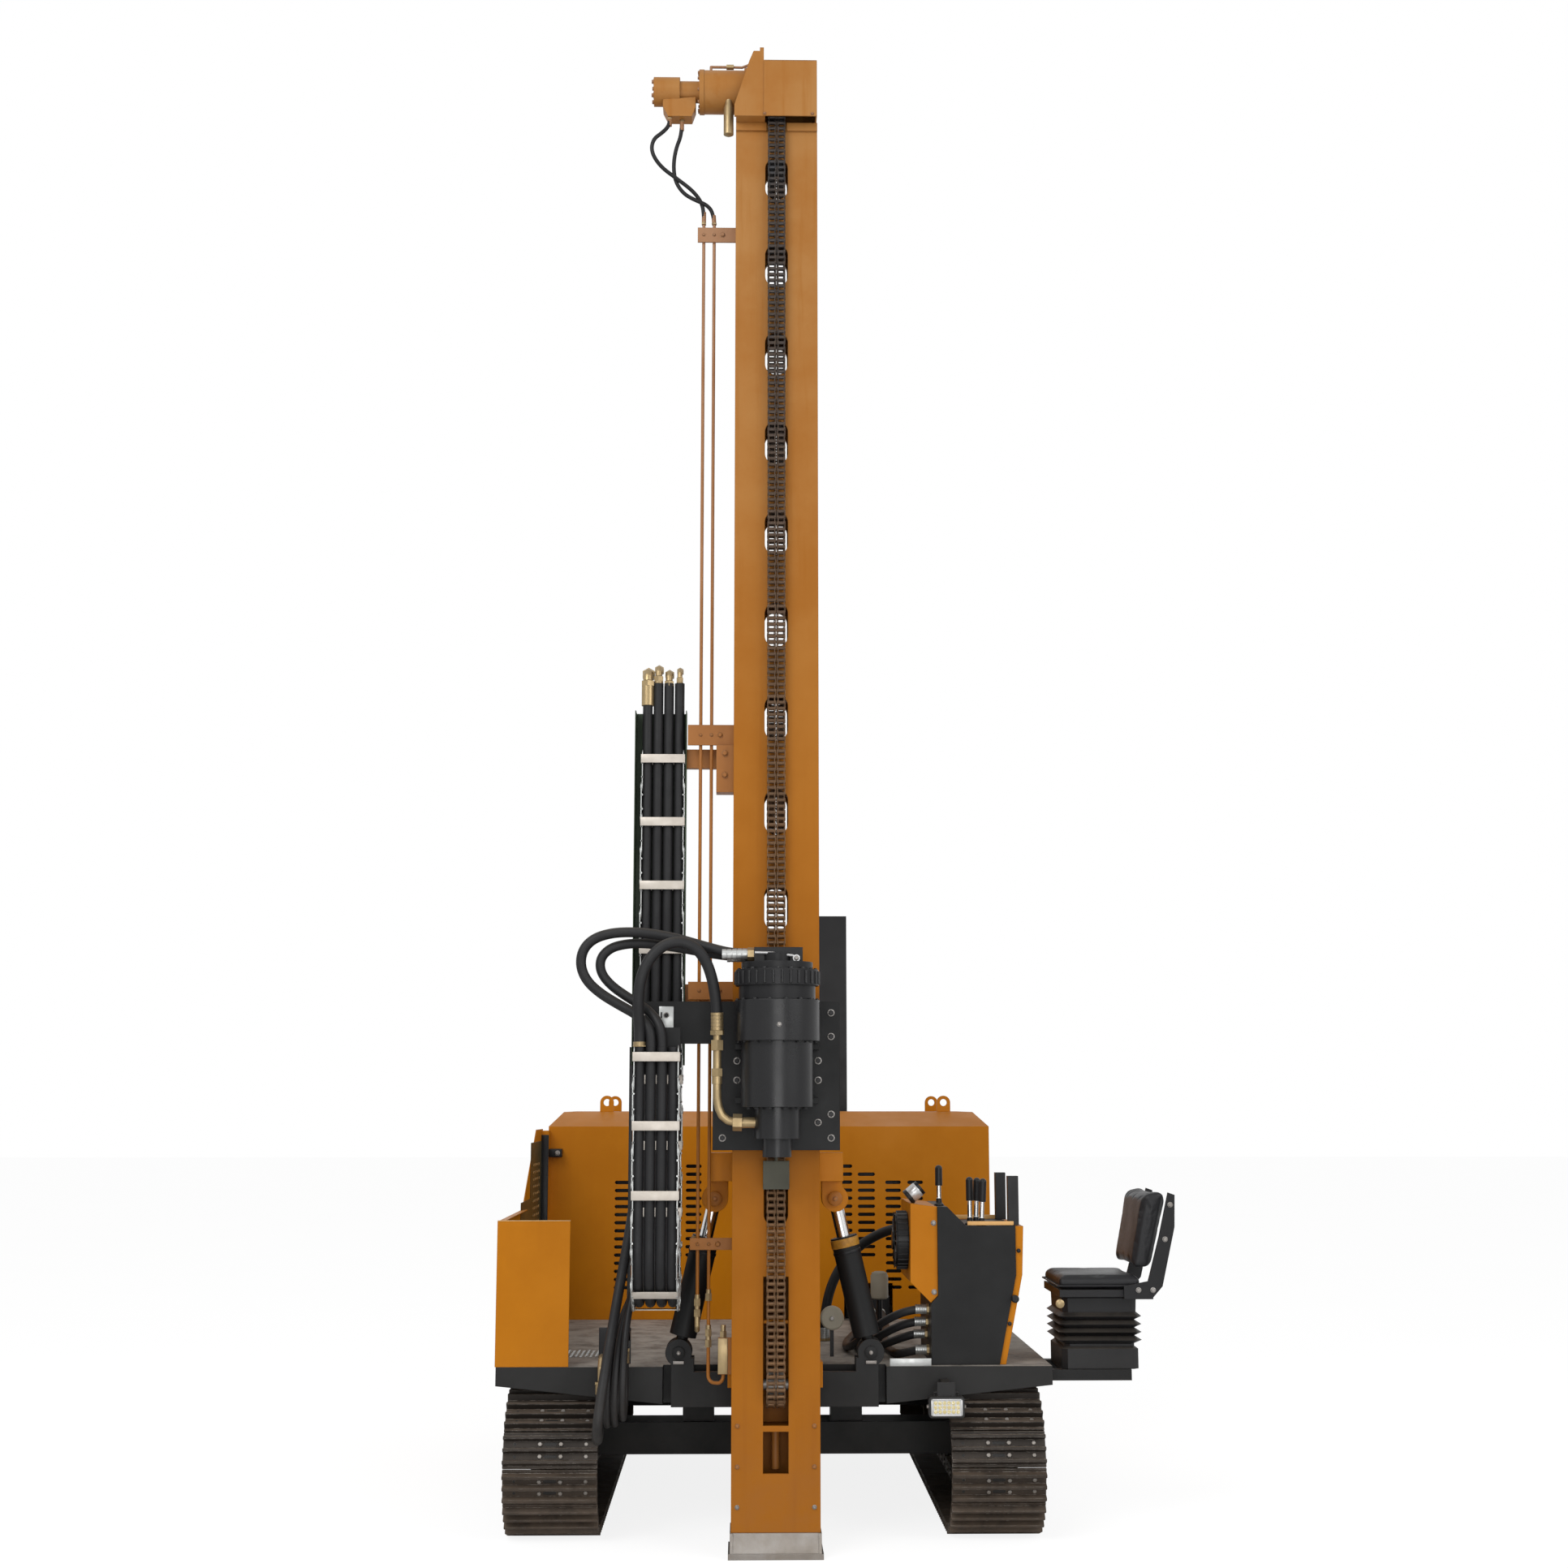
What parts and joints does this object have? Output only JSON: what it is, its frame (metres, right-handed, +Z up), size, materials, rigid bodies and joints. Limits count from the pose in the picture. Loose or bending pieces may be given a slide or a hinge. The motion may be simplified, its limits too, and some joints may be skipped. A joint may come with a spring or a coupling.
{
  "type": "crawler pile rig with a rotary drive mast",
  "caption": "Crawler pile rig: a tall slotted box mast with a chain-fed rotary drive head and drag chain stands before a tracked deck with engine hood, console and seat.",
  "frame": {"origin": "On the ground under the middle of the mast's front face, where the foot rests.", "axes": "+X right as seen from in front of the mast, +Y back towards the deck and hood, +Z up."},
  "size_m": [2.799, 3.883, 6.24],
  "materials": {
    "body_orange": "satin orange-yellow machine paint, worn and dusty",
    "frame_grey": "satin dark grey machine paint",
    "deck_grey": "worn grey deck paint with dust",
    "black_paint": "satin black paint",
    "track_steel": "dark cast steel, polished on the edges",
    "bare_steel": "bare and galvanised steel",
    "chrome": "hard chrome rod",
    "hose_rubber": "black hose rubber",
    "seat_vinyl": "black seat covering",
    "lamp_glass": "clear lamp front"
  },
  "bodies": {
    "chassis": {"platform": "frame_grey", "undercarriage": "frame_grey", "track_left": "track_steel", "track_right": "track_steel", "track_frames": "frame_grey", "track_wheels": "track_steel", "hood": "body_orange", "hood_lugs": "body_orange", "engine_block": "black_paint", "exhaust_post": "black_paint", "guard_left": "body_orange", "console_shell": "frame_grey", "console_flaps": "body_orange", "console_levers": "black_paint", "arm_posts": "black_paint", "deck_fittings": "black_paint", "deck_hoses": "hose_rubber", "work_lamp": "black_paint", "seat_pads": "seat_vinyl", "seat_pan": "black_paint", "seat_bellows": "hose_rubber", "seat_beam": "frame_grey"},
    "luff_frame": {"luff_frame": "frame_grey"},
    "luff_barrel": {"luff_barrel": "frame_grey"},
    "luff_rod": {"luff_rod": "chrome"},
    "swing_frame": {"swing_frame": "body_orange", "lift_barrel": "frame_grey"},
    "swing_barrel_left": {"swing_barrel_left": "frame_grey"},
    "swing_rod_left": {"swing_rod_left": "chrome"},
    "swing_barrel_right": {"swing_barrel_right": "frame_grey"},
    "swing_rod_right": {"swing_rod_right": "chrome"},
    "mast": {"mast_column": "body_orange", "mast_foot": "bare_steel", "top_housing": "body_orange", "feed_drive": "body_orange", "chain_wheels": "bare_steel", "feed_chain": "bare_steel", "hard_pipes": "body_orange", "pipe_brackets": "body_orange", "cable_trough": "black_paint", "drag_chain_rear": "bare_steel", "drag_hoses_rear": "hose_rubber", "lift_rod": "chrome", "top_hoses": "hose_rubber"},
    "carriage": {"carriage_frame": "frame_grey", "rotary_gearbox": "black_paint", "rotary_motor": "black_paint", "chain_anchor": "frame_grey", "drag_chain_front": "bare_steel", "drag_hoses_front": "hose_rubber", "carriage_hoses": "hose_rubber"},
    "spindle": {"spindle": "bare_steel"},
    "drag_bend": {"drag_chain_bend": "bare_steel", "drag_hoses_bend": "hose_rubber"},
    "hood_door_left": {"hood_door_left": "body_orange"},
    "hood_door_right": {"hood_door_right": "body_orange"}
  },
  "joints": [
    {"name": "mast_luff", "type": "hinge", "parent": "chassis", "child": "luff_frame", "pos_m": [0, 0.43, 0.76], "axis": [-1, 0, 0], "range_deg": [-5, 30]},
    {"name": "luff_barrel_turn", "type": "hinge", "parent": "chassis", "child": "luff_barrel", "pos_m": [0, 1.2, 0.76], "axis": [-1, 0, 0], "range_deg": [-2, 11]},
    {"name": "luff_rod_slide", "type": "slide", "parent": "luff_barrel", "child": "luff_rod", "axis": [0, -0.7768, 0.6298], "range_m": [-0.285, 0.05]},
    {"name": "mast_swing", "type": "hinge", "parent": "luff_frame", "child": "swing_frame", "pos_m": [0, 0.25, 0.6], "axis": [0, 1, 0], "range_deg": [-8, 8]},
    {"name": "swing_barrel_left_turn", "type": "hinge", "parent": "luff_frame", "child": "swing_barrel_left", "pos_m": [-0.39, 0.29, 0.747], "axis": [0, 1, 0], "range_deg": [-8.8, 8.8]},
    {"name": "swing_barrel_right_turn", "type": "hinge", "parent": "luff_frame", "child": "swing_barrel_right", "pos_m": [0.39, 0.29, 0.747], "axis": [0, 1, 0], "range_deg": [-8.8, 8.8]},
    {"name": "swing_rod_left_slide", "type": "slide", "parent": "swing_barrel_left", "child": "swing_rod_left", "axis": [0.2287, 0, 0.9735], "range_m": [-0.06, 0.06]},
    {"name": "swing_rod_right_slide", "type": "slide", "parent": "swing_barrel_right", "child": "swing_rod_right", "axis": [-0.2287, 0, 0.9735], "range_m": [-0.06, 0.06]},
    {"name": "mast_lift", "type": "slide", "parent": "swing_frame", "child": "mast", "axis": [0, 0, -1], "range_m": [-0.5, 0]},
    {"name": "feed", "type": "slide", "parent": "mast", "child": "carriage", "axis": [0, 0, 1], "range_m": [-0.7, 3.2], "deforming": ["drag_chain_rear", "drag_hoses_rear", "drag_chain_front", "drag_hoses_front"]},
    {"name": "drag_bend_slide", "type": "slide", "parent": "carriage", "child": "drag_bend", "axis": [0, 0, 1], "range_m": [-1.61, 0.355]},
    {"name": "spindle_turn", "type": "hinge", "parent": "carriage", "child": "spindle", "pos_m": [0, -0.246, 1.6], "axis": [0, 0, 1], "continuous": true},
    {"name": "hood_door_left_swing", "type": "hinge", "parent": "chassis", "child": "hood_door_left", "pos_m": [-1.115, 3.203, 1.16], "axis": [0, 0, -1], "range_deg": [0, 100]},
    {"name": "hood_door_right_swing", "type": "hinge", "parent": "chassis", "child": "hood_door_right", "pos_m": [1.115, 3.203, 1.16], "axis": [0, 0, 1], "range_deg": [0, 100]}
  ],
  "couplings": [
    {"joint": "luff_barrel_turn", "follows": "mast_luff", "ratio": 0.3363},
    {"joint": "luff_rod_slide", "follows": "mast_luff", "m_per_rad": -0.5296},
    {"joint": "swing_barrel_left_turn", "follows": "mast_swing", "ratio": 1.0852},
    {"joint": "swing_barrel_right_turn", "follows": "mast_swing", "ratio": 1.0852},
    {"joint": "swing_rod_left_slide", "follows": "mast_swing", "m_per_rad": 0.4112},
    {"joint": "swing_rod_right_slide", "follows": "mast_swing", "m_per_rad": -0.4112},
    {"joint": "drag_bend_slide", "follows": "feed", "ratio": -0.5}
  ]
}
